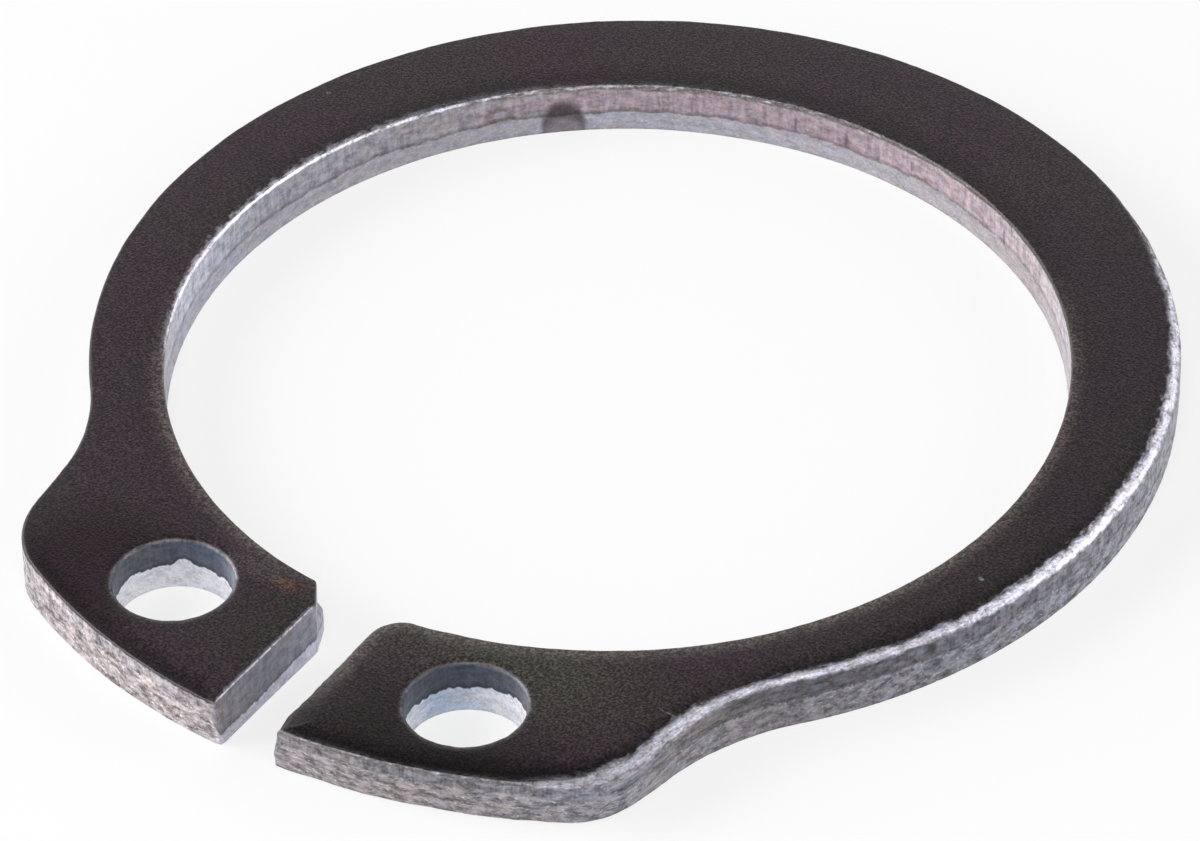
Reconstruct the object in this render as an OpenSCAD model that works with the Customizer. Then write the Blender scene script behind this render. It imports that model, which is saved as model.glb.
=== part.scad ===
// Retaining ring for the outside of a shaft, punched from spring strip.
// The axis of the shaft is Z, the gap between the lugs points along -Y,
// and z = 0 is the middle of the strip's thickness.

/* [Ring] */
// Diameter of the bore with the ring free
bore_d = 18.4; // [16:0.1:22]
// Thickness of the strip
thick = 1.2; // [0.8:0.05:2]
// Width of the band at the back, opposite the gap
back_w = 2.57; // [2:0.01:3.4]
// Width that the band tapers down to, reached under the lugs
front_w = 1.27; // [0.9:0.01:1.8]

/* [Lugs] */
// Height of the lugs, measured from the bore
lug_h = 4; // [3.4:0.1:4.8]
// Width of the gap between the lugs
gap_w = 1.3; // [0.6:0.05:3]
// Width of each lug, from the gap to its flank
lug_w = 7.7; // [7.2:0.05:8]
// Lean of the flanks away from the Y axis, in degrees
flank_lean = 6.5; // [4:0.5:9]
// Radius of the outer shoulder of each lug
shoulder_r = 2; // [1.2:0.1:2.6]
// Radius of the sweep from the band into each lug
sweep_r = 5; // [3:0.1:6]
// Radius of the rounded inner corner on the +X lug
corner_r = 0.7; // [0.3:0.05:0.9]
// Reach of the facet along the gap on the -X lug's inner corner
facet_y = 0.7; // [0.3:0.05:1]
// Reach of the facet across that lug
facet_x = 0.4; // [0.2:0.05:0.6]

/* [Plier holes] */
// Diameter of the plier holes
hole_d = 2.36; // [1.6:0.02:2.8]
// Distance from the bore to the centre of each hole
hole_in = 1.98; // [1.6:0.01:2.2]
// Angle from the gap's centre line to each hole
hole_turn = 18; // [16:0.5:20]

/* [Punched edge] */
// Width of the roll along the top edges
roll_w = 0.07; // [0.03:0.01:0.12]
// Depth of the roll along the top edges
roll_h = 0.11; // [0.04:0.01:0.2]
// Share of the thickness, from the bottom, that broke away instead of shearing
break_share = 0.42; // [0.25:0.01:0.6]
// Lean of the broken part, measured at the bottom face
break_w = 0.09; // [0.02:0.01:0.15]
// The same round the -X lug
left_break_w = 0.08; // [0.02:0.01:0.2]
// The same round the +X lug, where it is larger
right_break_w = 0.2; // [0.02:0.01:0.24]
// The same in the plier holes
hole_break_w = 0.04; // [0.01:0.01:0.1]
// Slant of the broken part of both gap faces towards -X
gap_break_w = 0.12; // [0.01:0.01:0.16]

/* [Hidden] */
$fa = 2;
$fs = 0.12;
bore_r = bore_d / 2;
hole_r = hole_d / 2;
out_r = bore_r + (back_w + front_w) / 2;
out_y = (back_w - front_w) / 2;
lug_r = bore_r + lug_h;
flank_d = gap_w / 2 + lug_w;
// depth of the strips that carry the edge form, and the bury of one in the next
deep = 1;
lap = 0.02;
spare = 0.6;

// along is down the +X flank, away square out of it
along = [-sin(flank_lean), -cos(flank_lean)];
away = [cos(flank_lean), -sin(flank_lean)];
// centre of the shoulder, touching the flank and the outside of the lug from within
shoulder_in = flank_d - shoulder_r;
shoulder_c = shoulder_in * away + sqrt(pow(lug_r - shoulder_r, 2) - pow(shoulder_in, 2)) * along;
// centre of the sweep, touching the flank and the outside of the band from without
sweep_in = flank_d + sweep_r;
sweep_along = sqrt(pow(out_r + sweep_r, 2) - pow(sweep_in + out_y * sin(flank_lean), 2))
    - out_y * cos(flank_lean);
sweep_c = sweep_in * away + sweep_along * along;
sweep_from = atan2(out_y - sweep_c.y, -sweep_c.x);
lug_turn = atan2(shoulder_c.x, -shoulder_c.y);
// centre of the rounded inner corner
corner_c = [gap_w / 2 + corner_r, -sqrt(pow(bore_r + corner_r, 2) - pow(gap_w / 2 + corner_r, 2))];

// One punched edge at x, from the bottom face up: broken, sheared, rolled.
// side is +1 where the metal lies towards smaller x, -1 where it lies towards larger x.
function punched(x, side, lean, tail = 0) = concat(
    tail > 0 ? [[x - side * lean, -tail]] : [],
    [[x - side * lean, 0], [x, break_share * thick]],
    [for (a = [0:30:90]) [x - side * roll_w * (1 - cos(a)), thick - roll_h * (1 - sin(a))]],
    tail > 0 ? [[x - side * roll_w, thick + tail]] : []);

// Metal from x = inner out to an edge at x = outer
module section(inner, outer, lean, tail = 0) {
    polygon(concat([[inner, -tail]], punched(outer, 1, lean, tail), [[inner, thick + tail]]));
}

module disc(r, lean, tail = 0) {
    rotate_extrude() section(0, r, lean, tail);
}

// What a round punch takes out
module punch(r, lean) {
    rotate_extrude()
        polygon(concat([[0, -spare]], punched(r, -1, lean, spare), [[0, thick + spare]]));
}

module band_disc() {
    translate([0, out_y, 0]) disc(out_r, break_w);
}

// The outside of one lug, an arc about the bore
module lug_sector(lean) {
    rotate_extrude(start = 270 + lug_turn / 20, angle = lug_turn * 19 / 20) section(0, lug_r, lean);
}

module shoulder(lean) {
    translate([shoulder_c.x, shoulder_c.y, 0]) disc(shoulder_r + lap, lean);
}

module flank(lean) {
    top = -sweep_c * along + spare;
    rotate([0, 0, -flank_lean])
        translate([0, top, 0])
            rotate([90, 0, 0])
                linear_extrude(height = top + shoulder_c * along)
                    section(flank_d - 1.5 * deep, flank_d, lean);
}

// The hollow sweep from the band into the lug
module sweep(lean) {
    translate([sweep_c.x, sweep_c.y, 0])
        rotate_extrude(start = sweep_from, angle = 180 - flank_lean - sweep_from)
            polygon(concat(
                punched(sweep_r + lap, -1, lean),
                [[sweep_r + 1.5 * deep, thick], [sweep_r + 1.5 * deep, 0]]));
}

// Full-height metal behind the strips of one lug
module web() {
    inset = [
        [0, 0],
        sweep_c + (sweep_r + deep) * [cos(sweep_from), sin(sweep_from)],
        (flank_d - deep) * away + (sweep_c * along) * along,
        (flank_d - deep) * away + (shoulder_c * along) * along,
        (lug_r - deep) * [sin(lug_turn), -cos(lug_turn)]];
    linear_extrude(height = thick) polygon(inset);
}

module lug(lean) {
    lug_sector(lean);
    shoulder(lean);
    flank(lean);
    sweep(lean);
    web();
}

module gap() {
    right = punched(gap_w / 2, -1, -gap_break_w, spare);
    left = punched(-gap_w / 2, 1, gap_break_w, spare);
    outline = concat(right, [for (i = [len(left) - 1:-1:0]) left[i]]);
    rotate([90, 0, 0]) linear_extrude(height = lug_r + spare) polygon(outline);
}

// What is taken off the +X lug where the gap meets the bore
module inner_round() {
    near = (bore_r - spare / 2) / (bore_r + corner_r) * corner_c;
    void_x = gap_w / 2 - spare / 2;
    difference() {
        translate([0, 0, -spare / 2])
            linear_extrude(height = thick + spare)
                polygon([corner_c, [void_x, corner_c.y], [void_x, near.y], near]);
        translate([corner_c.x, corner_c.y, 0]) disc(corner_r + lap, -gap_break_w, spare);
    }
}

// What is taken off the -X lug there, a flat facet
module inner_facet() {
    tip = [-gap_w / 2, -sqrt(pow(bore_r, 2) - pow(gap_w / 2, 2))];
    run = [facet_x, facet_y];
    a = tip - [2 * run.x, -run.y];
    b = tip - [-run.x, 2 * run.y];
    translate([0, 0, -spare / 2])
        linear_extrude(height = thick + spare) polygon([a, b, tip + [run.x, run.y]]);
}

module ring_on_its_face() {
    difference() {
        union() {
            band_disc();
            lug(right_break_w);
            mirror([1, 0, 0]) lug(left_break_w);
        }
        punch(bore_r, break_w);
        gap();
        inner_round();
        inner_facet();
        for (side = [-1, 1])
            rotate([0, 0, side * hole_turn])
                translate([0, -bore_r - hole_in, 0]) punch(hole_r, hole_break_w);
    }
}

module circlip() {
    color("dimgray") translate([0, 0, -thick / 2]) ring_on_its_face();
}

circlip();
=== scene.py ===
"""Looks of the retaining ring: its punched edge as one carried profile, its dark coat and bare rims."""
import math
from types import SimpleNamespace

import bpy
import numpy as np
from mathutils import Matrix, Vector
from mathutils.geometry import delaunay_2d_cdt


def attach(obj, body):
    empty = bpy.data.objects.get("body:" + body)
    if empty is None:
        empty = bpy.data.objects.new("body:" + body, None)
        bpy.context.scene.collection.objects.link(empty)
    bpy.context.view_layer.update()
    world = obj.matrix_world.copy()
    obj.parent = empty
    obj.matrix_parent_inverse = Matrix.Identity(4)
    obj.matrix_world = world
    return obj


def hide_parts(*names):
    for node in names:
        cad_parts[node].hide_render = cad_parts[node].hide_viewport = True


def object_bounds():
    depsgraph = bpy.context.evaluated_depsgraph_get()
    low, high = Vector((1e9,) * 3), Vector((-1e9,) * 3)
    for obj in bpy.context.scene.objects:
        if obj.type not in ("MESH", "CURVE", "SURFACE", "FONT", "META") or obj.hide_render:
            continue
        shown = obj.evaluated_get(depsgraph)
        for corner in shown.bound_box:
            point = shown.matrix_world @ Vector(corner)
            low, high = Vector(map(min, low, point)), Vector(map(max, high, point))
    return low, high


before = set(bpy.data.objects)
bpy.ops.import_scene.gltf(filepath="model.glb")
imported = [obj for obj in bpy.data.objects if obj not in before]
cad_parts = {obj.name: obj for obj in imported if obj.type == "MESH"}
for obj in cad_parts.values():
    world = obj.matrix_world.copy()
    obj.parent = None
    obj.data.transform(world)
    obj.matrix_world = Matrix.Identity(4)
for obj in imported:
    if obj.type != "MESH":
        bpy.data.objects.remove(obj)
cad_box = [list(map(float, c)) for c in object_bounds()]

# Sizes, in millimetres, as the ring measures
MM = 0.001
BORE_R, THICK = 9.2, 1.2
HALF = THICK / 2
# the band's outer circle, and how far its middle lies behind the bore's
OUT_R, OUT_Y = 11.12, 0.65
# the lugs' outer circle, the hollow sweep beside each lug and the rounded inner corner of the +X lug
LUG_R, SWEEP_R, CORNER_R = 13.2, 5.0, 0.7
# the flanks' lean, and for each lug the distance of its gap face and its flank, and its shoulder's radius
LEAN = math.radians(6.5)
RIGHT = dict(gap=0.58, flank=8.28, shoulder=1.75)
LEFT = dict(gap=0.72, flank=8.40, shoulder=2.15)
# the cut inner corner of the -X lug, from the bore to the gap, and the rounds at its gap and bore ends
FACET = np.array([[-1.13, -9.13], [-0.72, -9.75]])
FACET_LOW_R, FACET_HIGH_R, FACET_LEAST_R = 0.12, 0.10, 0.03
# the outer corners of the gap, and the least radius that an inset leaves them
NIB_R, NIB_LEAST_R = 0.05, 0.012
HOLES = dict(left=(-3.53, -10.60), right=(3.385, -10.67))
HOLE_R, HOLE_STEPS = 1.18, 128
# the longest step of the path, its inner twin's distance, and how far the walls stay inside the solid
STEP, RIM, SKIN = 0.06, 0.36, 0.006


# The path round the ring
def angle(v):
    """Angle of a direction, from its two parts."""
    return math.atan2(v[1], v[0])


def flip(p):
    """The point mirrored to the other lug."""
    return np.array([-p[0], p[1]])


def lug_centres(lug, inset, nib):
    """Centres of one lug's corner, shoulder and sweep, as if it stood on +X. Each circle touches its
    neighbours, so a centre lies at the sum or difference of two radii from one line and one circle."""
    away = np.array([math.cos(LEAN), -math.sin(LEAN)])
    along = np.array([-math.sin(LEAN), -math.cos(LEAN)])
    band = np.array([0.0, OUT_Y])
    r = lug["shoulder"]
    into, out = lug["flank"] - r, lug["flank"] + SWEEP_R
    shoulder = into * away + math.sqrt((LUG_R - r) ** 2 - into ** 2) * along
    reach = band @ along + math.sqrt((OUT_R + SWEEP_R) ** 2 - (out - band @ away) ** 2)
    sweep = out * away + reach * along
    x = lug["gap"] + inset + nib
    corner = np.array([x, -math.sqrt((LUG_R - inset - nib) ** 2 - x * x)])
    return dict(corner=corner, shoulder=shoulder, sweep=sweep, away=away, r=r,
                to_band=angle(band - sweep), from_band=angle(sweep - band))


def facet_ends(inset):
    """The direction that the facet faces, and the centre and radius of the round at each of its ends,
    first the one at the gap: each touches the facet's line and the gap face or the bore."""
    u = FACET[0] - FACET[1]
    u = u / np.hypot(*u)
    n = np.array([u[1], -u[0]])
    low, high = max(FACET_LOW_R - inset, FACET_LEAST_R), max(FACET_HIGH_R - inset, FACET_LEAST_R)
    p = FACET[1] - (inset + low) * n
    c_low = p + u * ((-LEFT["gap"] - inset - low - p[0]) / u[0])
    p = FACET[1] - (inset + high) * n
    root = math.sqrt((p @ u) ** 2 - p @ p + (BORE_R + inset + high) ** 2)
    crossings = (p + (k - p @ u) * u for k in (root, -root))
    c_high = min(crossings, key=lambda q: np.hypot(*(q - FACET[0])))
    return n, c_low, low, c_high, high


def parts(inset):
    """The closed path at that distance inside the outline, anticlockwise: lines as (name, start, end) and
    arcs as (name, centre, radius, first angle, last angle). Outer arcs lose the inset from their radius,
    and hollow ones gain it."""
    nib = max(NIB_R - inset, NIB_LEAST_R)
    R, L = lug_centres(RIGHT, inset, nib), lug_centres(LEFT, inset, nib)
    turn, full = math.pi, 2 * math.pi
    to_r = R["to_band"] if R["to_band"] < angle(-R["away"]) else R["to_band"] - full
    from_l, to_l = (turn - L["to_band"]) % full, (turn - angle(-L["away"])) % full
    n, c_low, low, c_high, high = facet_ends(inset)
    x = RIGHT["gap"] + CORNER_R
    inner = np.array([x, -math.sqrt((BORE_R + CORNER_R) ** 2 - x * x)])
    return [
        ("corner_r", R["corner"], nib, -turn, angle(R["corner"])),
        ("lug_r", np.zeros(2), LUG_R - inset, angle(R["corner"]), angle(R["shoulder"])),
        ("shoulder_r", R["shoulder"], R["r"] - inset, angle(R["shoulder"]), angle(R["away"])),
        ("flank_r", R["shoulder"] + (R["r"] - inset) * R["away"],
         R["sweep"] - (SWEEP_R + inset) * R["away"]),
        ("sweep_r", R["sweep"], SWEEP_R + inset, angle(-R["away"]), to_r),
        ("band", np.array([0, OUT_Y]), OUT_R - inset, R["from_band"], turn - L["from_band"]),
        ("sweep_l", flip(L["sweep"]), SWEEP_R + inset, from_l + (full if from_l < to_l else 0), to_l),
        ("flank_l", flip(L["sweep"] - (SWEEP_R + inset) * L["away"]),
         flip(L["shoulder"] + (L["r"] - inset) * L["away"])),
        ("shoulder_l", flip(L["shoulder"]), L["r"] - inset,
         turn - angle(L["away"]), turn - angle(L["shoulder"])),
        ("lug_l", np.zeros(2), LUG_R - inset, turn - angle(L["shoulder"]), turn - angle(L["corner"])),
        ("corner_l", flip(L["corner"]), nib, turn - angle(L["corner"]), full),
        ("gap_l", np.array([-LEFT["gap"] - inset, L["corner"][1]]), c_low + [low, 0]),
        ("facet_low", c_low, low, 0.0, angle(n)),
        ("facet", c_low + low * n, c_high + high * n),
        ("facet_high", c_high, high, angle(n), angle(-c_high)),
        ("bore", np.zeros(2), BORE_R + inset, angle(c_high) % full, angle(inner)),
        ("corner_in", inner, CORNER_R - inset, angle(-inner), turn),
        ("gap_r", np.array([RIGHT["gap"] + inset, inner[1]]),
         np.array([RIGHT["gap"] + inset, R["corner"][1]]))]


def length(part):
    """Length of a line, or of an arc."""
    return math.dist(part[1], part[2]) if len(part) == 3 else abs(part[4] - part[3]) * part[2]


# steps of each part, and by name how many there are and which is the first
LEAST_STEPS = 6
STEPS = [max(LEAST_STEPS, math.ceil(length(p) / STEP)) for p in parts(0.0)]
NAMES = [p[0] for p in parts(0.0)]
COUNT = dict(zip(NAMES, STEPS))
FIRST = dict(zip(NAMES, np.concatenate([[0], np.cumsum(STEPS)])[:-1]))


def path(inset):
    """Points of the closed path, each part cut into the same number of steps whatever the inset."""
    points = []
    for part, k in zip(parts(inset), STEPS):
        t = np.arange(k) / k
        if len(part) == 3:
            points.append(part[1] + np.outer(t, part[2] - part[1]))
        else:
            a = part[3] + t * (part[4] - part[3])
            points.append(part[1] + part[2] * np.c_[np.cos(a), np.sin(a)])
    return np.concatenate(points)


def ring_round(centre, inset):
    """Points round a plier hole, clockwise, so that the metal is outside: radius plus inset."""
    a = -np.arange(HOLE_STEPS) / HOLE_STEPS * 2 * math.pi
    return np.array(centre) + (HOLE_R + inset) * np.c_[np.cos(a), np.sin(a)]


def travel(points):
    """Distance run along a closed path up to each point, and its whole length."""
    step = np.hypot(*(np.roll(points, -1, 0) - points).T)
    run = np.concatenate([[0], np.cumsum(step)])
    return run[:-1], run[-1]


OUTER = path(SKIN)
RUN, WHOLE = travel(OUTER)


def at(part, share):
    """Distance run at a share of one part."""
    return float(np.interp(FIRST[part] + share * COUNT[part], np.arange(len(RUN)), RUN))


def plateau(first, last, before, after):
    """1 between two places of the path, falling straight to 0 over the given distances before and after."""
    s = (RUN - first + WHOLE / 2) % WHOLE - WHOLE / 2
    return np.interp(s, [-before, 0, last - first, last - first + after], [0, 1, 1, 0])


# Unevenness
SINES = 60


def wander(seed, run, whole, waves, power=1.0):
    """A closed wandering line of unit spread: a sum of sines that fit the path whole times, of random phase,
    whose squared heights fall with frequency to the power. waves is (longest, shortest), per millimetre."""
    rng = np.random.default_rng(seed)
    k = np.geomspace(max(1, waves[0] * whole), waves[1] * whole, SINES)
    k = np.unique(np.round(k).astype(int))
    a = rng.normal(size=len(k)) * (k / k[0]) ** (-power / 2)
    f = rng.uniform(0, 2 * math.pi, len(k))
    y = (a[:, None] * np.sin(2 * math.pi * k[:, None] * run[None] / whole + f[:, None])).sum(0)
    return y / y.std()


def rough(seed, run, whole, height, cell):
    """Roughness of about unit spread over (height, run): random values on a coarse closed grid, blended by
    cosines. cell is the grid's step along the run and up."""
    rng = np.random.default_rng(seed)
    nu, nv = max(4, round(whole / cell[0])), max(3, math.ceil(THICK / cell[1]) + 2)
    g = rng.normal(size=(nv, nu))
    u, v = run / whole * nu, np.clip(height / cell[1], 0, nv - 1.001)
    i, j = np.floor(u).astype(int) % nu, np.floor(v).astype(int)
    s, t = (1 - np.cos(math.pi * (u % 1))) / 2, (1 - np.cos(math.pi * (v % 1))) / 2
    a = g[j, i] * (1 - s) + g[j, (i + 1) % nu] * s
    b = g[j + 1, i] * (1 - s) + g[j + 1, (i + 1) % nu] * s
    return a * (1 - t) + b * t


# The punched edge, set out by place
# part, share along it, (width, depth, bareness and lightness of the roll, that lightness holding painted
# highlights, above 1 where the roll's painted highlight is brightest), (top and lean of the torn zone),
# (droop of the face, how far in it reaches, and its painted shade: a painted darker band below 0, a painted
# lighter rim above), (lightness and warmth of the sheared land), (the same of the torn zone), (how far the
# land is dragged along the edge, how uneven the torn zone is). The lightness of the land, the torn zone and
# the roll holds painted light and shade: lighter where the wall faces the key lamp on the left, darker where
# it turns away.
PLACES = [
    ("lug_r", 0.01, (.07, .10, .40, .42), (.80, .18), (.045, .50, -.4), (.24, .5), (.30, .8), (0, 1)),
    ("lug_r", 0.10, (.04, .07, .45, .42), (.86, .23), (.055, .59, -.8), (.21, .5), (.29, .8), (0, 1)),
    ("lug_r", 0.50, (.04, .07, .40, .42), (.87, .23), (.050, .58, -.8), (.20, .0), (.27, .8), (0, 1)),
    ("lug_r", 0.85, (.06, .08, .45, .42), (.84, .235), (.060, .75, -.9), (.22, -.4), (.27, .4), (.2, 1)),
    ("shoulder_r", 0.3, (.30, .12, .80, .40), (.74, .25), (.060, .80, -.9), (.25, -.8), (.27, -.1), (.5, 1)),
    ("shoulder_r", 0.8, (.37, .15, .95, .50), (.68, .235), (.05, .80, -.8), (.22, -.6), (.27, -.2), (.8, 1)),
    ("flank_r", 0.50, (.31, .15, 1.0, .62), (.64, .155), (.040, .78, -.7), (.19, .0), (.25, .1), (1, .9)),
    ("sweep_r", 0.50, (.19, .14, 1.0, .62), (.66, .035), (.026, .66, -.3), (.12, .8), (.22, .2), (1, .8)),
    ("band", 0.00, (.15, .15, 1.0, .62), (.67, .00), (.030, .62, -.7), (.10, -.5), (.20, .1), (.8, .9)),
    ("band", 0.06, (.19, .17, 1.0, .62), (.66, .01), (.034, .70, -.7), (.13, -.7), (.21, -.6), (.3, 1)),
    ("band", 0.14, (.21, .17, 1.0, 1.15), (.65, .02), (.032, .70, -.5), (.20, -.6), (.24, -.7), (.1, 1)),
    ("band", 0.26, (.20, .14, .95, .90), (.60, .03), (.020, .60, -.1), (.32, -.6), (.31, -.5), (0, 1)),
    ("band", 0.40, (.07, .10, .10, .50), (.54, .03), (.010, .50, 0), (.34, -.2), (.33, .0), (0, 1)),
    ("band", 0.90, (.07, .10, .05, .50), (.52, .03), (.010, .50, 0), (.34, .2), (.33, .4), (0, 1)),
    ("sweep_l", 0.50, (.07, .10, .05, .50), (.56, .03), (.016, .50, 0), (.34, .4), (.33, .6), (0, 1)),
    ("flank_l", 0.50, (.08, .11, .10, .50), (.62, .01), (.030, .55, -.2), (.32, .6), (.33, .7), (0, 1)),
    ("shoulder_l", 0.50, (.07, .10, .15, .50), (.72, .00), (.045, .60, -.4), (.34, .8), (.34, .8), (0, 1)),
    ("lug_l", 0.10, (.04, .07, .08, .50), (.85, .025), (.050, .58, -.5), (.42, .8), (.34, 1.0), (0, 1.0)),
    ("lug_l", 0.50, (.03, .06, .08, .50), (.85, .045), (.050, .58, -.5), (.38, .6), (.36, 1.2), (0, 1.1)),
    ("lug_l", 0.98, (.03, .06, .08, .50), (.84, .105), (.055, .58, -.6), (.36, .5), (.35, 1.0), (0, 1.1)),
    ("gap_l", 0.02, (.03, .06, .75, .55), (.23, -.02), (.010, .36, -.2), (.21, .2), (.54, -.3), (.2, .4)),
    ("gap_l", 0.50, (.03, .06, .60, .55), (.28, -.01), (.006, .36, 0), (.19, -1.0), (.64, -.5), (.3, .3)),
    ("gap_l", 0.96, (.03, .06, .80, .60), (.31, -.02), (.006, .36, 0), (.26, -1.0), (.62, -.9), (.2, .3)),
    ("facet", 0.10, (.03, .10, .0, .50), (.33, .0), (.006, .36, 0), (.36, -1.0), (.55, -.9), (0, .3)),
    ("facet", 0.90, (.03, .10, .0, .50), (.34, .0), (.010, .36, .4), (.38, -.4), (.52, -.5), (0, .3)),
    ("bore", 0.03, (.05, .08, .10, .50), (.42, .00), (.026, .55, 1), (.34, .0), (.38, .0), (0, .4)),
    ("bore", 0.12, (.05, .08, .15, .50), (.45, .00), (.024, .55, 1), (.34, .2), (.42, .0), (0, .4)),
    ("bore", 0.19, (.05, .09, .85, 1.25), (.44, -.02), (.006, .50, .2), (.56, -.9), (.42, -1.0), (0, .3)),
    ("bore", 0.25, (.05, .09, 1.0, 1.25), (.46, .00), (.006, .70, -.3), (.33, -.8), (.37, -.3), (0, .3)),
    ("bore", 0.33, (.05, .10, .60, .75), (.48, .05), (.006, .90, -.5), (.30, .3), (.37, .0), (0, .3)),
    ("bore", 0.40, (.06, .12, .45, .55), (.50, .08), (.006, .90, -.5), (.32, .9), (.43, -.6), (0, .3)),
    ("bore", 0.50, (.06, .10, .35, .50), (.50, .06), (.006, .90, -.5), (.31, 1.1), (.38, .0), (0, .3)),
    ("bore", 0.60, (.05, .08, .15, .50), (.49, .01), (.008, .80, -.3), (.42, 1.1), (.35, 1.0), (0, .3)),
    ("bore", 0.66, (.05, .08, .10, .50), (.48, -.02), (.012, .45, .6), (.48, .4), (.42, .4), (0, .3)),
    ("bore", 0.80, (.06, .09, .10, .50), (.46, .00), (.026, .60, 1), (.36, .0), (.38, .0), (0, .4)),
    ("bore", 0.94, (.06, .09, .10, .50), (.46, .00), (.030, .55, 1), (.34, .0), (.38, .0), (0, .4)),
    ("corner_in", 0.5, (.12, .14, .10, .50), (.48, -.03), (.035, .55, 1), (.30, .0), (.36, .0), (0, .4)),
    ("gap_r", 0.45, (.20, .22, .10, .50), (.52, -.10), (.045, .60, .9), (.28, -.5), (.40, -.2), (.2, .4)),
    ("gap_r", 0.99, (.18, .20, .10, .50), (.52, -.10), (.045, .52, -.35), (.28, -.5), (.40, -.2), (.2, .4))]
EDGE = ("roll_w", "roll_h", "bare", "tone", "torn", "lean", "droop", "reach", "shade", "land", "land_warm",
        "broken", "broken_warm", "drag", "uneven")


def edge_values():
    """The edge's values at every column by name: straight between the places above, and closed."""
    spot = np.array([at(part, share) for part, share, *_ in PLACES])
    table = np.array([np.hstack(values) for _, _, *values in PLACES])
    order = np.argsort(spot)
    return {key: np.interp(RUN, spot[order], table[order, k], period=WHOLE) for k, key in enumerate(EDGE)}


# Rows of the edge's section, as shares of the flat bottom, the foot, the roll's quarter turn and the
# face, and as numbers of rows of the torn part and the sheared land
FLAT_ROWS, FOOT_ROWS = (1.0, 0.45, 0.12, 0.0), (0.3, 1.0)
TORN_ROWS, LAND_ROWS = 10, 7
ROLL_ROWS, FACE_ROWS = np.radians([15, 30, 45, 60, 75, 90]), (0.1, 0.25, 0.45, 0.7, 1.0)
# the bottom edge's small bevel, how far the torn part bulges for its lean, the power by which the face's
# droop grows towards the edge, and how far past its mean outward lean a torn part may stand
FOOT_IN, FOOT_H, BULGE, DROOP_POWER, LEAN_OUT_MOST = 0.02, 0.012, 0.05, 1.5, 1.2
# what wanders along the edge, each with its own seed: how much, as a share of the size, or for torn and
# foot in millimetres, over what waves per millimetre, and how fast those fall
WAVES = dict(roll_w=(0.10, (0.25, 4), 1.0), roll_h=(0.12, (0.3, 5), 1.0), torn=(0.018, (0.3, 9), 0.8),
             lean=(0.04, (0.2, 2), 1.0), foot=(0.0015, (1, 7), 0.5))
# roughness of the torn part, coarse and fine, and of the land: how deep, and its grid's step along and up
TEAR = ((0.010, (0.16, 0.20)), (0.004, (0.07, 0.1)))
LAND_GRAIN = (0.0022, (0.12, 0.5))


def wall(outer, inner, sizes, seed, far=0.0):
    """One closed wall as a grid, a column for each step of the path and a row for each level of the
    edge's section. The section runs from the middle of the bottom face round to the middle of the top
    one: flat out to the edge, a torn part that leans from its foot to the torn line, an upright sheared
    part, a quarter-round roll (width and depth its own), and a droop of the face that fades to nothing
    further in. Every point is the outline moved towards its inner twin by the section's depth there.
    level is the height, and runs on over the roll and the face with the depth, so that a pattern drawn on
    it isn't stretched there."""
    run, whole = travel(outer)
    way = (inner - outer) / (RIM - SKIN)
    droop, reach = sizes["droop"], sizes["reach"]
    waves = {key: amount * wander(seed + k, run, whole, *kind)
             for k, (key, (amount, *kind)) in enumerate(WAVES.items())}
    roll_w = sizes["roll_w"] * (1 + waves["roll_w"])
    roll_h = sizes["roll_h"] * (1 + waves["roll_h"])
    torn = sizes["torn"] + waves["torn"]
    lean = sizes["lean"] * (1 + waves["lean"]) + waves["foot"]
    top = THICK - droop - roll_h
    tear_seed, land_seed = seed + len(WAVES), seed + len(WAVES) + len(TEAR)
    depth, height = [], []
    inward = [0.0] * (len(FLAT_ROWS) + len(FOOT_ROWS) + TORN_ROWS + LAND_ROWS)
    for f in FLAT_ROWS:
        depth.append((lean + FOOT_IN) * (1 - f) + RIM * f)
        height.append(np.zeros_like(run))
    for f in FOOT_ROWS:
        depth.append(lean + FOOT_IN * (1 - f) ** 2)
        height.append(FOOT_H * f * np.ones_like(run))
    for f in np.linspace(0, 1, TORN_ROWS + 1)[1:]:
        z = FOOT_H + (torn - FOOT_H) * f
        bulge = BULGE * np.sin(math.pi * f) * np.abs(lean)
        tear = sum(deep * rough(tear_seed + k, run, whole, z, cell) for k, (deep, cell) in enumerate(TEAR))
        depth.append(lean * (1 - f) - bulge + sizes["uneven"] * tear * min(3 * f, 1) * (1 - f ** 6))
        height.append(z)
    for f in np.linspace(0, 1, LAND_ROWS + 1)[1:]:
        z = torn + (top - torn) * f
        depth.append(LAND_GRAIN[0] * rough(land_seed, run, whole, z, LAND_GRAIN[1]))
        height.append(z)
    for a in ROLL_ROWS:
        depth.append(roll_w * (1 - math.cos(a)))
        height.append(top + roll_h * math.sin(a))
        inward.append(1 - math.cos(a))
    for f in FACE_ROWS:
        depth.append(roll_w + (reach - roll_w) * f)
        height.append(THICK - droop * (1 - f) ** DROOP_POWER)
        inward.append(1 + f)
    # nothing stands outside the outline, but for a torn part that leans outwards
    depth = np.maximum(np.array(depth), np.minimum(lean, 0) * LEAN_OUT_MOST)
    height, inward = np.array(height), np.array(inward)[:, None]
    return dict(sizes, run=run, whole=whole, depth=depth, height=height,
                level=height + depth * (inward > 0), outer=outer, way=way, slip=0.0, torn=torn, top=top,
                inward=inward, far=far)


def points_of(w):
    """Places of a wall's grid: outline plus inward way times depth plus slip, and height from the middle."""
    xy = w["outer"][None] + w["way"][None] * w["depth"][..., None] + w["slip"]
    return np.dstack([xy, w["height"] - HALF])


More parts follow.
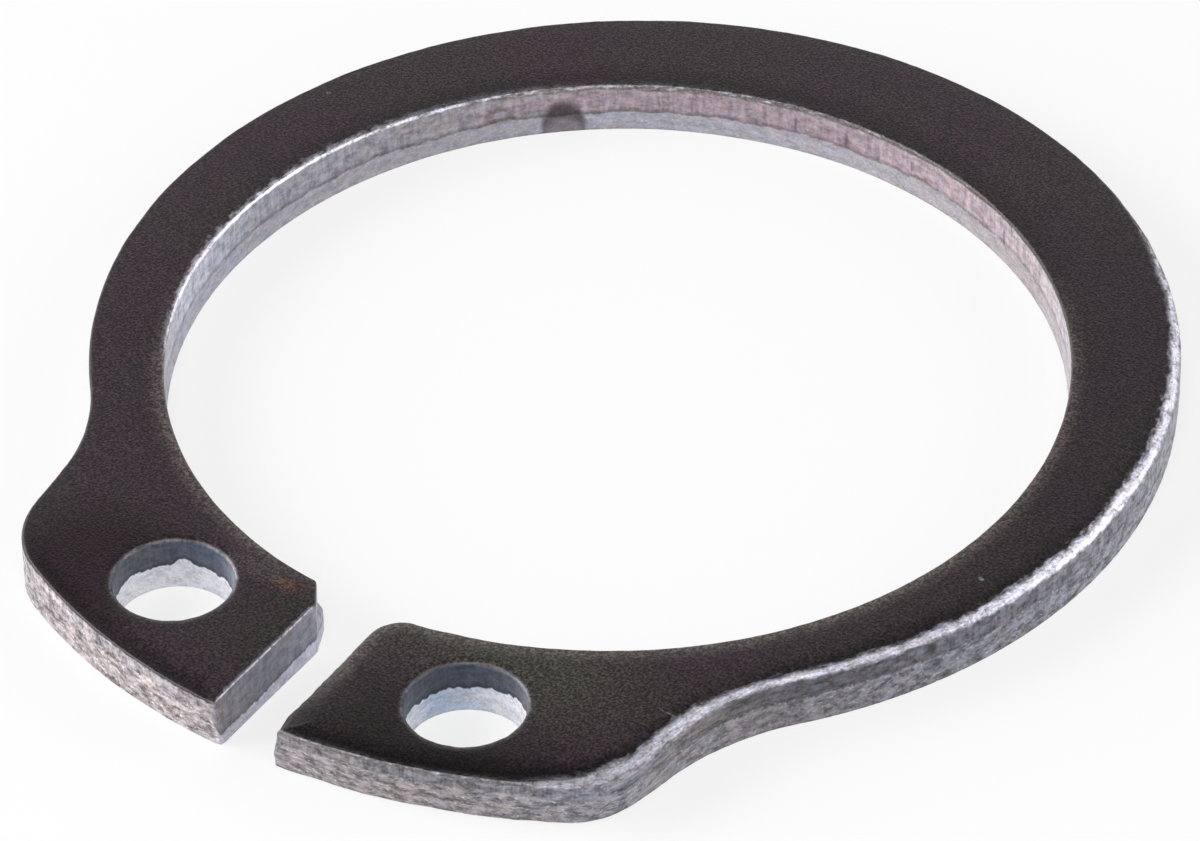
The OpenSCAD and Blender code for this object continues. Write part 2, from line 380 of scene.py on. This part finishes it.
# The walls of this ring
# at the two outer corners of the gap the leans fade over these distances before and after, and give way
# to one shift of the foot: where, its x and y, and over what distances before and after the corner each
# of them fades
LEAN_FADE = (0.10, 0.12)
FEET = [((at("corner_r", 0), at("lug_r", 0)), (-0.10, 0.20), ((0.10, 0.60), (0.60, 0.12))),
        ((at("corner_l", 0), at("gap_l", 0)), (0.0, 0.125), ((0.10, 0.10), (0.11, 0.55)))]
# the facet only took the top of the corner by the bore: under a ledge between these heights, the corner
# stands out by so much, and that fades over a distance along the bore
LEDGE_Z, LEDGE_OUT, LEDGE_FADE = (0.53, 0.64), 0.13, 0.6
# the near corner's tip is drawn in high up: how far, from what height and over what height it sets in, and
# how it fades before and after the corner
TIP_IN, TIP_Z, TIP_RISE, TIP_FADE = 0.11, 0.45, 0.5, (0.45, 0.25)
# the far gap face bulges low down: how far, at what height, over what height and over what half length
BELLY_OUT, BELLY_Z, BELLY_H, BELLY_HALF = 0.05, 0.42, 0.25, 1.5


def outline_wall():
    """The wall round the lugs, the band, the gap and the bore, with the forms that only this ring has."""
    sizes = edge_values()
    for corner, _, _ in FEET:
        sizes["lean"] = sizes["lean"] * (1 - plateau(*corner, *LEAN_FADE))
    w = wall(OUTER, path(RIM), sizes, 11)
    z = w["height"]
    low_down = np.clip(1 - z / w["torn"], 0, 1)
    slip_x, slip_y = (sum(shift[k] * plateau(*corner, *fades[k]) for corner, shift, fades in FEET)
                      for k in (0, 1))
    ledge = plateau(at("facet", 1), at("bore", 0), at("facet", 1) - at("facet", 0), LEDGE_FADE)
    below = np.clip((LEDGE_Z[1] - z) / (LEDGE_Z[1] - LEDGE_Z[0]), 0, 1)
    tip = plateau(at("corner_r", 0), at("lug_r", 0), *TIP_FADE) * np.clip((z - TIP_Z) / TIP_RISE, 0, 1)
    w["slip"] = np.dstack([slip_x * low_down + LEDGE_OUT * ledge * below + TIP_IN * tip, slip_y * low_down])
    belly = np.exp(-((RUN - at("gap_r", 0.5)) / BELLY_HALF) ** 8)
    w["depth"] -= BELLY_OUT * belly * np.exp(-((z - BELLY_Z) / BELLY_H) ** 2)
    return w


# what both plier holes share
HOLE_EDGE = dict(roll_w=.07, roll_h=.12, bare=1, lean=.012, droop=.012, reach=.20, drag=0, uneven=.25)


def hole_wall(side, seed, far):
    """A plier hole's wall: a sheared part that ends in a ragged line, with the notch or step that each
    hole has there. Places on it are given as angles round the hole, with a bell of some width at each."""
    outer, inner = ring_round(HOLES[side], SKIN), ring_round(HOLES[side], RIM)
    run, whole = travel(outer)

    def bell(degrees, width, power=2):
        """1 at one angle, falling to 0 round it: e to the minus distance over width, that to the power. A
        high power gives it a flat top and steep sides."""
        centre = (-math.radians(degrees)) % (2 * math.pi) * HOLE_R
        d = (run - centre + whole / 2) % whole - whole / 2
        return np.exp(-np.abs(d / width) ** power)

    if side == "left":
        # a narrow notch upwards; the land is paler to the right, painted light where the wall faces the key
        # lamp, and most bluish at the back
        torn = 0.58 + 0.17 * bell(116, 0.15) + 0.02 * bell(170, 0.4)
        land, land_warm = 0.10 + 0.17 * bell(40, 0.45), -1.6 - 1.8 * bell(92, 0.7)
        broken, broken_warm = 0.90, -0.1
    else:
        # a step up with steep sides; the land there is paler and less bluish, painted light where the wall
        # faces the key lamp; the torn part is darker and more bluish to the left, painted shade where the
        # wall turns from that lamp
        torn = 0.60 + 0.12 * bell(48.6, 0.64, 10) + 0.012 * wander(seed + 8, run, whole, (1, 4))
        land, land_warm = 0.085 - 0.02 * bell(150, 0.6) + 0.06 * bell(45, 0.45), -3.0 + 2.2 * bell(45, 0.5)
        broken, broken_warm = 0.90 - 0.28 * bell(145, 0.7), -0.1 - 2.0 * bell(145, 0.7)
    # painted light: a lighter rim round each hole, strongest on its near side
    values = dict(HOLE_EDGE, tone=1.2 * land, torn=torn, shade=.2 + .4 * bell(303, 1.4), land=land,
                  land_warm=land_warm, broken=broken, broken_warm=broken_warm)
    return wall(outer, inner, {key: v * np.ones_like(run) for key, v in values.items()}, seed, far)


# One closed mesh
# what the material reads from the mesh's corners
SHOWN = ("torn", "top", "bare", "tone", "inward", "shade", "land", "land_warm", "broken", "broken_warm",
         "drag", "uneven")
# where the flat faces lie in the map of run and height, away from every wall
FLAT_UV = (-5.0, 0.0)
# points nearer than this are one, and how much of a hole's radius is surely empty
SAME_POINT, SURELY_EMPTY = 1e-7, 0.99


def add_object(name, data):
    """A new object of the scene that holds the mesh, lamp or camera."""
    ob = bpy.data.objects.new(name, data)
    bpy.context.scene.collection.objects.link(ob)
    return ob


def blank(loops):
    """Flat triangles between closed loops, as indices into the loops laid end to end: the outline's
    inside less the holes' insides."""
    flat = [Vector(p) for loop in loops for p in loop]
    first = np.cumsum([0] + [len(loop) for loop in loops])
    edges = [(k, k + 1 if k + 1 < b else a) for a, b in zip(first[:-1], first[1:]) for k in range(a, b)]
    _, _, faces, source, _, _ = delaunay_2d_cdt(flat, edges, [list(range(first[1]))], 1, SAME_POINT)
    origin = np.array([s[0] for s in source])
    tri = origin[np.array(faces)]
    p = np.array([(v[0], v[1]) for v in flat])
    c = p[tri].mean(1)
    keep = np.ones(len(tri), bool)
    for centre, loop in zip(HOLES.values(), loops[1:]):
        keep &= np.hypot(*(c - np.array(centre)).T) > math.dist(loop[0], centre) * SURELY_EMPTY
    return tri[keep]


def flat_faces(ends, verts):
    """Triangles of the bottom and the top face, between the walls' first and last rows, turned outwards.
    ends holds, for each wall, the indices of those two rows and then their places."""
    sides = []
    for row, up in ((0, -1), (1, 1)):
        index = np.concatenate([end[row] for end in ends])
        tris = index[blank([end[row + 2] for end in ends])]
        a, b, c = (verts[tris[:, k]] for k in range(3))
        wrong = np.cross(b - a, c - a)[:, 2] * up < 0
        tris[wrong] = tris[wrong][:, ::-1]
        sides.append(tris)
    return np.concatenate(sides)


def build(name, walls):
    """Joins the walls' grids and the flat faces between their end rows into one mesh that faces outwards."""
    verts, faces, uv, values, ends = [], [], [], [], []
    start = 0
    for w in walls:
        p = points_of(w)
        rows, cols = p.shape[:2]
        verts.append(p.reshape(-1, 3))
        i, j = np.meshgrid(np.arange(rows - 1), np.arange(cols), indexing="ij")
        k = (j + 1) % cols
        quad = np.stack([i * cols + j, i * cols + k, (i + 1) * cols + k, (i + 1) * cols + j], -1)
        faces.append(quad.reshape(-1, 4) + start)
        run = np.concatenate([w["run"], [w["whole"]]]) + w["far"]
        h = w["level"]
        u = np.stack([run[j], run[j + 1], run[j + 1], run[j]], -1)
        v = np.stack([h[i, j], h[i, k], h[i + 1, k], h[i + 1, j]], -1)
        uv.append(np.stack([u, v], -1).reshape(-1, 2))
        shown = np.stack([np.broadcast_to(w[key], h.shape) for key in SHOWN], -1)
        values.append(shown.reshape(-1, len(SHOWN)))
        low_row = start + np.arange(cols)
        ends.append((low_row, low_row + (rows - 1) * cols, p[0, :, :2], p[-1, :, :2]))
        start += rows * cols
    verts, values, quads = np.concatenate(verts), np.concatenate(values), np.concatenate(faces)
    tris = flat_faces(ends, verts)
    loops = np.concatenate([quads.ravel(), tris.ravel()])
    starts = np.concatenate([np.arange(len(quads)) * 4, len(quads) * 4 + np.arange(len(tris)) * 3])
    mesh = bpy.data.meshes.new(name)
    mesh.vertices.add(len(verts))
    mesh.vertices.foreach_set("co", (verts * MM).astype(np.float32).ravel())
    mesh.loops.add(len(loops))
    mesh.loops.foreach_set("vertex_index", loops.astype(np.int32))
    mesh.polygons.add(len(starts))
    mesh.polygons.foreach_set("loop_start", starts.astype(np.int32))
    mesh.update(calc_edges=True)
    mesh.polygons.foreach_set("use_smooth", np.ones(len(starts), bool))
    uv.append(np.tile(FLAT_UV, (len(tris) * 3, 1)))
    layer = mesh.uv_layers.new(name="run_and_height")
    layer.data.foreach_set("uv", np.concatenate(uv).astype(np.float32).ravel())
    for k, key in enumerate(SHOWN):
        layer = mesh.attributes.new(key, "FLOAT", "POINT")
        layer.data.foreach_set("value", values[:, k].astype(np.float32))
    mesh.validate(verbose=True)
    return add_object(name, mesh)


# Materials
class Wire:
    """One output of a node. Arithmetic on it adds Math nodes."""

    def __init__(self, finish, socket):
        self.finish, self.socket = finish, socket

    def __add__(self, other):
        return self.finish.math("ADD", self, other)

    def __radd__(self, other):
        return self.finish.math("ADD", other, self)

    def __sub__(self, other):
        return self.finish.math("SUBTRACT", self, other)

    def __rsub__(self, other):
        return self.finish.math("SUBTRACT", other, self)

    def __mul__(self, other):
        return self.finish.math("MULTIPLY", self, other)

    def __rmul__(self, other):
        return self.finish.math("MULTIPLY", other, self)

    def __abs__(self):
        return self.finish.math("ABSOLUTE", self)


class Finish:
    """A node tree under construction, of a material or of the world."""

    def __init__(self, owner):
        owner.use_nodes = True
        self.owner, self.tree = owner, owner.node_tree
        self.tree.nodes.clear()

    def add(self, kind, settings=None, links=None, out=0):
        """Any node: its type, its settings, which are set first, and the values or wires of its sockets. It
        gives back the output of that number, or a list of them."""
        node = self.tree.nodes.new("ShaderNode" + kind)
        for key, value in (settings or {}).items():
            if key == "stops":
                ramp = node.color_ramp.elements
                while len(ramp) < len(value):
                    ramp.new(0.5)
                for stop, (place, grey) in zip(ramp, value):
                    stop.position, stop.color = place, (grey, grey, grey, 1)
            else:
                setattr(node, key, value)
        for key, value in (links or {}).items():
            if isinstance(value, Wire):
                self.tree.links.new(value.socket, node.inputs[key])
            else:
                node.inputs[key].default_value = value
        if isinstance(out, tuple):
            return [Wire(self, node.outputs[k]) for k in out]
        return Wire(self, node.outputs[out]) if node.outputs else None

    def math(self, operation, a, b=0.0):
        """One Math node."""
        return self.add("Math", {"operation": operation}, {0: a, 1: b})

    def most(self, a, b):
        """The larger of two numbers."""
        return self.math("MAXIMUM", a, b)

    def least(self, a, b):
        """The smaller of two numbers."""
        return self.math("MINIMUM", a, b)

    def between(self, x, low, high):
        """0 below low, 1 above high, and a smooth step between them."""
        return self.add("MapRange", {"interpolation_type": "SMOOTHSTEP"}, {0: x, 1: low, 2: high})

    def mix(self, share, a, b):
        """Colour a where share is 0 and colour b where it is 1."""
        a, b = ((*c, 1) if isinstance(c, tuple) else c for c in (a, b))
        return self.add("Mix", {"data_type": "RGBA"}, {0: share, 6: a, 7: b}, 2)

    def blend(self, share, a, b):
        """Number a where share is 0 and number b where it is 1."""
        return self.add("Mix", {"data_type": "FLOAT"}, {0: share, 2: a, 3: b})

    def shade(self, colour, k):
        """A colour times a number."""
        return self.add("VectorMath", {"operation": "SCALE"}, {0: colour, "Scale": k})

    def times(self, a, b):
        """A colour times a colour."""
        return self.add("VectorMath", {"operation": "MULTIPLY"}, {0: a, 1: b})

    def grain(self, place, scale, detail, rough, out=0):
        """Noise between 0 and 1 about one half, or with out 1 a colour of three such noises."""
        return self.add("TexNoise", {}, {"Vector": place, "Scale": scale, "Detail": detail,
                                         "Roughness": rough}, out)

    def stretch(self, place, factors, shift=(0.0, 0.0, 0.0)):
        """A place with each of its parts multiplied, to draw a pattern out along one way, then shifted."""
        return self.add("Mapping", {}, {0: place, 1: shift, 3: factors})

    def streaks(self, place, along, up, detail, rough):
        """Noise on the walls, with so many grains to the millimetre along the run and so many up."""
        return self.grain(self.stretch(place, (along, up, 1)), 1.0, detail, rough)

    def wobble(self, place, scale, reach):
        """A place moved about by noise, by about a third of reach."""
        off = self.add("VectorMath", {"operation": "SUBTRACT"},
                       {0: self.grain(place, scale, 2, 0.6, out=1), 1: (0.5, 0.5, 0.5)})
        return self.add("VectorMath", {"operation": "ADD"}, {0: place, 1: self.shade(off, reach)})

    def blot(self, place, centre, half, soft, hollow=None):
        """1 inside an ellipse and 0 outside it, soft at its border, and empty within the hollow share."""
        a, b = 1 / half[0], 1 / half[1]
        local = self.stretch(place, (a, b, 0.0), (-centre[0] * a, -centre[1] * b, 0.0))
        d = self.add("VectorMath", {"operation": "LENGTH"}, {0: local}, 1)
        filled = 1 - self.between(d, 1 - soft, 1.0)
        return filled if hollow is None else filled * self.between(d, hollow - soft, hollow)


# marks on the walls: run and height of the middle, half run and half height, softness, colour factor and,
# for a ring of one, the hollow share. The runs round the plier holes start at 200 and 220
WALL_MARKS = [
    ((104.5, 0.80), (8.2, 0.34), 0.25, (1.03, 0.93, 1.03)),
    ((99.24, 0.05), (0.58, 0.95), 0.28, (0.22, 0.20, 0.20)),
    ((99.24, 0.10), (0.58, 0.44), 0.60, (2.50, 2.50, 2.60)),
    ((97.85, 0.68), (0.42, 0.30), 0.50, (0.66, 0.56, 0.54), 0.70),
    ((101.3, 0.76), (0.03, 0.30), 0.8, (0.70, 0.62, 0.66)),
    ((102.0, 0.72), (0.05, 0.26), 0.8, (0.66, 0.58, 0.62)),
    ((104.3, 0.80), (0.04, 0.30), 0.8, (0.66, 0.58, 0.62)),
    ((105.5, 0.74), (0.07, 0.34), 0.8, (0.45, 0.38, 0.42)),
    ((107.2, 0.78), (0.04, 0.28), 0.8, (0.66, 0.58, 0.62)),
    ((110.2, 0.68), (0.08, 0.34), 0.8, (0.46, 0.40, 0.42)),
    ((71.9, 0.72), (0.40, 0.22), 0.9, (1.55, 1.50, 1.48)),
    ((69.0, 0.92), (0.90, 0.14), 0.9, (1.40, 1.42, 1.42)),
    ((68.7, 0.40), (0.60, 0.16), 0.9, (0.66, 0.64, 0.63)),
    ((215.0, 0.10), (40.0, 0.75), 0.3, (1.0, 1.05, 0.985)),
    ((14.4, 0.92), (0.16, 0.22), 0.6, (0.38, 0.38, 0.36))]
# marks on the top face: x and y of the middle, half sizes, softness, colour factor
FACE_MARKS = [
    ((-1.5, -9.55), (0.55, 0.28), 0.8, (2.3, 1.7, 1.0)),
    # painted light: this mark carries the lighter painted rim at the bore's near edge further out
    ((-2.4, -9.45), (1.3, 0.45), 0.8, (1.7, 2.2, 1.7)),
    ((-6.5, 7.6), (2.4, 1.6), 0.8, (1.12, 1.0, 1.0)),
    ((3.2, -9.2), (4.4, 2.4), 0.9, (1.45, 2.05, 1.33)),
    # painted shade: this mark and the next darken the front bands of the two lugs
    ((3.5, -12.2), (4.8, 2.5), 0.9, (0.30, 0.33, 0.26)),
    ((-5.2, -11.0), (2.8, 2.6), 0.7, (0.50, 0.32, 0.40)),
    ((-1.4, -10.6), (1.6, 1.9), 0.7, (0.87, 1.03, 0.85)),
    ((9.2, 3.0), (7.0, 13.0), 0.9, (0.70, 0.75, 0.71)),
    ((-10.05, 4.3), (0.07, 0.05), 0.5, (5, 7.5, 6)),
    ((9.88, -2.24), (0.08, 0.06), 0.5, (5, 8, 8)),
    ((6.84, -8.83), (0.26, 0.035), 0.6, (3.6, 4.8, 4.6))]
# the half size from which such a mark has a wavy border, and the factor that changes nothing
WAVY_FROM, PLAIN = 0.5, (1.0, 1.0, 1.0)
# the coat, from violet to brown, then its painted lighter rim along some edges, and where it is worn thin on
# the roll
COAT_VIOLET, COAT_BROWN = (0.0238, 0.0134, 0.0198), (0.0231, 0.0157, 0.0186)
COAT_PAINTED_RIM_LIGHT, COAT_THIN = (0.080, 0.066, 0.060), (0.17, 0.15, 0.15)


def read_surface(f):
    """What the steel's colours are made from, by name: places, the mesh's own values, the noises that
    several layers share, and where each layer lies, as 1 inside it and 0 outside."""
    s = SimpleNamespace(**{key: f.add("Attribute", {"attribute_name": key}, out=2) for key in SHOWN})
    s.mm = f.shade(f.add("TexCoord", out=3), 1 / MM)
    s.plain_uv = f.add("UVMap", {"uv_map": "run_and_height"})
    s.uv = f.wobble(s.plain_uv, 5.0, 0.09)
    s.height = f.add("SeparateXYZ", {}, {0: s.plain_uv}, 1)
    s.dust, s.dust_hue = f.grain(s.mm, 18.0, 1.5, 0.6, out=(0, 1))
    s.fine = f.streaks(s.plain_uv, 15, 17, 1.5, 0.6)
    fray = f.streaks(s.uv, 8, 3, 2, 0.65) - 0.5
    s.flakes = f.streaks(s.uv, 4.2, 8, 2, 0.65) - 0.5
    s.past_torn = s.height - s.torn + (0.10 + 0.20 * s.drag) * fray
    s.is_torn = 1 - f.between(s.past_torn, -0.02, 0.02)
    s.above = f.between(s.height - s.top + 0.12 * s.flakes, -0.02, 0.03)
    s.worn = f.between(s.bare + 1.3 * s.flakes, 0.30, 0.76)
    s.under = 1 - f.between(s.height, 0.0, 0.004)
    s.coated = f.most(s.under, f.between(s.inward + 0.7 * s.flakes, 0.62, 1.25))
    return s


def coat_colour(f, s):
    """The dark coat of the faces: cloudy, with the marks of the top face, with a painted lighter rim at some
    edges and a painted darker band at others, thin on the roll, and speckled with dust."""
    clouds = f.grain(s.mm, 0.30, 1, 0.55)
    coat = f.mix(f.between(clouds, 0.40, 0.62), COAT_VIOLET, COAT_BROWN)
    moved = f.wobble(s.mm, 0.9, 0.35)
    on_top = f.between(f.add("SeparateXYZ", {}, {0: s.mm}, 2), 0.4, 0.5)
    for centre, half, soft, factor in FACE_MARKS:
        share = f.blot(moved if half[0] > WAVY_FROM else s.mm, centre, half, soft)
        coat = f.times(coat, f.mix(share * on_top, PLAIN, factor))
    fade = (1 - s.under) * (1 - f.between(s.inward, 1.0, 2.0))
    on_roll = (1 - s.under) * (1 - f.between(s.inward, 0.7, 1.1))
    # painted light: where shade is above 0 the coat's rim turns to a lighter painted colour, fading inwards
    coat = f.mix(0.8 * f.most(s.shade, 0.0) * fade * fade, coat, COAT_PAINTED_RIM_LIGHT)
    coat = f.mix(f.least(1.6 * s.bare, 1.0) * on_roll, coat, COAT_THIN)
    speckle = f.most(1 + 6.0 * (s.dust - 0.5) * (1 - 0.6 * on_roll), 0.4)
    # painted shade: where shade is below 0 the face darkens towards the edge as a painted dark band; the
    # speckle is dust
    coat = f.shade(coat, (1 + f.least(s.shade, 0.0) * fade * (1 - on_roll)) * speckle)
    return f.times(coat, f.add("VectorMath", {"operation": "MULTIPLY_ADD"},
                               {0: s.dust_hue, 1: (0.9, 0.9, 0.9), 2: (0.55, 0.55, 0.55)}))


def bare_colours(f, s):
    """The bare metal of the wall and of the worn roll. The wall is burnished where it was sheared, with
    streaks upright or dragged along, granular where it was torn, and darker along the line between them."""
    upright = f.streaks(s.uv, 7, 1.0, 2, 0.75)
    dragged = f.streaks(s.uv, 1.0, 13, 2, 0.75)
    streak = f.between(f.blend(s.drag, upright, dragged), 0.28, 0.72)
    blotch = f.between(f.streaks(s.uv, 3.0, 5.6, 2, 0.75), 0.30, 0.70)
    hue = 3.2 * (f.streaks(s.uv, 2.2, 4, 1, 0.6) - 0.5)

    def tinted(light, warm):
        """A grey of that lightness, from bluish at warmth -1 to pinkish at 1."""
        warm = warm + hue
        tint = f.add("CombineXYZ", {}, {0: 1.0 + 0.07 * warm, 1: 0.945, 2: 1.06 - 0.08 * warm})
        return f.shade(tint, light)

    line = 1 - (0.54 - 0.44 * s.uneven) * (1 - f.between(abs(s.past_torn - 0.03), 0.0, 0.11))
    broad = (0.4 + 0.7 * s.uneven) * (0.7 * (streak - 0.5) + 0.9 * (blotch - 0.5))
    close = (0.5 + 0.6 * s.uneven) * (s.fine - 0.5)
    specks = s.uneven * f.between(s.fine, 0.60, 0.74)
    # painted light and shade: the lightness in land, broken and tone is higher where the wall faces the key
    # lamp and lower where it turns away, with painted highlights on the roll
    burnish = tinted(s.land * (1 + broad + close + 0.4 * s.drag * specks) * line, s.land_warm)
    granular = tinted(s.broken * (1 + 1.25 * s.uneven * (blotch - 0.5) + specks + close), s.broken_warm)
    rolled = tinted(s.tone * (1 + 0.5 * (streak - 0.5) + 0.7 * (blotch - 0.5) + 1.6 * (s.fine - 0.5)), -0.4)
    wall_colour = f.mix(s.is_torn, burnish, granular)
    for centre, half, soft, factor, *hollow in WALL_MARKS:
        share = f.blot(s.uv, centre, half, soft, *hollow)
        wall_colour = f.times(wall_colour, f.mix(share, PLAIN, factor))
    return wall_colour, f.mix(f.between(s.inward + 0.4 * s.flakes, 0.02, 0.35), wall_colour, rolled)


def fine_relief(f, s):
    """Bump of the dust on the faces and of the grit on the walls, strongest where they are torn."""
    on_face = f.most(s.under, f.between(s.inward, 0.0, 1.0))
    torn_below = 1 - f.between(s.height - s.torn, -0.03, 0.03)
    grit = f.streaks(s.plain_uv, 7, 9, 1, 0.8)
    relief = f.blend(on_face, (0.3 + 0.8 * torn_below * s.uneven) * grit, 0.4 * s.dust)
    return f.add("Bump", {}, {"Strength": 1.0, "Distance": 0.000020, "Height": relief})


def steel():
    """Spring steel: dark phosphate on the faces, and on the punched walls bare bands of three kinds. The
    roll is worn bright, with painted highlights in its lightness, the sheared band is burnished, and the
    torn band below it is granular. The bands' heights, lightness and warmth come with the mesh, and noise
    along the wall makes their borders ragged. Their lightness holds painted light and shade by the way each
    wall faces, and the coat holds painted light and shade along its rim."""
    f = Finish(bpy.data.materials.new("phosphated_steel"))
    s = read_surface(f)
    coat = coat_colour(f, s)
    wall_colour, roll_colour = bare_colours(f, s)
    colour = f.mix(s.above, wall_colour, f.mix(s.worn, coat, roll_colour))
    metal = (1 - s.coated) * (1 - s.above * (1 - s.worn))
    smooth = f.most(s.under, f.between(s.inward, 0.9, 1.3))
    shader = f.add("BsdfPrincipled", {}, {
        "Base Color": f.mix(s.coated, colour, coat),
        "Metallic": 0.35 * metal * (1 - 0.5 * s.is_torn),
        "Roughness": 0.48 - 0.16 * smooth + 0.10 * s.is_torn * metal + 0.2 * (s.dust - 0.5),
        "IOR": 1.5,
        "Normal": fine_relief(f, s)})
    f.add("OutputMaterial", {}, {"Surface": shader})
    return f.owner


def paper():
    """The pale floor: matt white that a lens or a mirror also sees as white, and that takes a soft
    shadow. What it throws back onto the ring is a little less, as from a sheet of paper."""
    f = Finish(bpy.data.materials.new("floor_white"))
    seen, scattered, mirrored, through = f.add("LightPath", out=(0, 2, 3, 6))
    matt = f.add("BsdfDiffuse", {}, {"Color": f.mix(scattered, PAPER_LIT, PAPER_THROWN)})
    plain = f.add("Emission", {}, {"Color": (1, 1, 1, 1), "Strength": 1.0})
    share = PAPER_PLAIN * f.most(seen, f.most(mirrored, through))
    both = f.add("MixShader", {}, {0: share, 1: matt, 2: plain})
    f.add("OutputMaterial", {}, {"Surface": both})
    return f.owner


# The piece: each wall has its own seeds and its own stretch of the map of run and height
walls = [outline_wall(), hole_wall("left", 31, 200.0), hole_wall("right", 51, 220.0)]
circlip = build("punched_ring", walls)
circlip.data.materials.append(steel())
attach(circlip, "root")
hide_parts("circlip")


# Floor, light and camera
FLOOR_HALF = 1.5
LAMP_FAR = 0.22
# the paper's white as it is lit and as it throws light back, and how much of what is seen is plain white
PAPER_LIT, PAPER_THROWN, PAPER_PLAIN = (0.86, 0.86, 0.86), (0.75, 0.75, 0.75), 0.72
# the sky's grey by the height of the direction: pale walls round the horizon and a dark ceiling
SKY = [(0.0, 0.93), (0.12, 0.76), (0.42, 0.80), (0.62, 0.24), (0.75, 0.09), (0.87, 0.03)]
# the camera where the photograph's stood, as the outlines give it: its place in millimetres from the
# middle of the bore, its turn in degrees, and the lens on its sensor
CAMERA_PLACE, CAMERA_TURN = (63.6146, -97.3383, 92.1665), (51.2525, 0.7232, 32.7699)
LENS, SENSOR = 218.59, 36.0


def floor():
    """A square of floor at the ring's lowest point."""
    z, s = cad_box[0][2], FLOOR_HALF
    mesh = bpy.data.meshes.new("floor")
    mesh.from_pydata([(-s, -s, z), (s, -s, z), (s, s, z), (-s, s, z)], [], [(0, 1, 2, 3)])
    mesh.materials.append(paper())
    ob = add_object("floor", mesh)


def softbox(name, azimuth, elevation, width, level):
    """A square lamp that looks at the ring. level is the light that it throws on a surface that faces it,
    where 1 shows a white surface as white: power is level times pi squared times distance squared, as for
    a distant square."""
    lamp = bpy.data.lights.new(name, "AREA")
    lamp.size = width
    lamp.energy = level * math.pi ** 2 * LAMP_FAR ** 2
    a, e = math.radians(azimuth), math.radians(elevation)
    way = Vector((math.cos(e) * math.cos(a), math.cos(e) * math.sin(a), math.sin(e)))
    ob = add_object(name, lamp)
    ob.location = way * LAMP_FAR
    ob.rotation_euler = way.to_track_quat("Z", "Y").to_euler()


def sky():
    """A plain studio round the ring."""
    world = bpy.data.worlds.new("studio")
    bpy.context.scene.world = world
    f = Finish(world)
    rise = f.add("SeparateXYZ", {}, {0: f.add("TexCoord")}, 2)
    glow = f.add("ValToRGB", {"stops": SKY}, {0: rise})
    f.add("OutputWorld", {}, {"Surface": f.add("Background", {}, {0: glow})})


def camera():
    """The camera at the photograph's viewing angle."""
    data = bpy.data.cameras.new("camera")
    data.lens, data.sensor_width, data.sensor_fit = LENS, SENSOR, "HORIZONTAL"
    data.clip_start, data.clip_end = 0.005, 5.0
    ob = add_object("camera", data)
    ob.location = Vector(CAMERA_PLACE) * MM
    ob.rotation_euler = [math.radians(a) for a in CAMERA_TURN]
    bpy.context.scene.camera = ob


floor()
sky()
softbox("key", -147, 25, 0.16, 1.0)
softbox("fill", 27, 25, 0.14, 0.35)
softbox("over", -60, 62, 0.12, 0.40)
camera()
bpy.context.scene.view_settings.view_transform = "Standard"
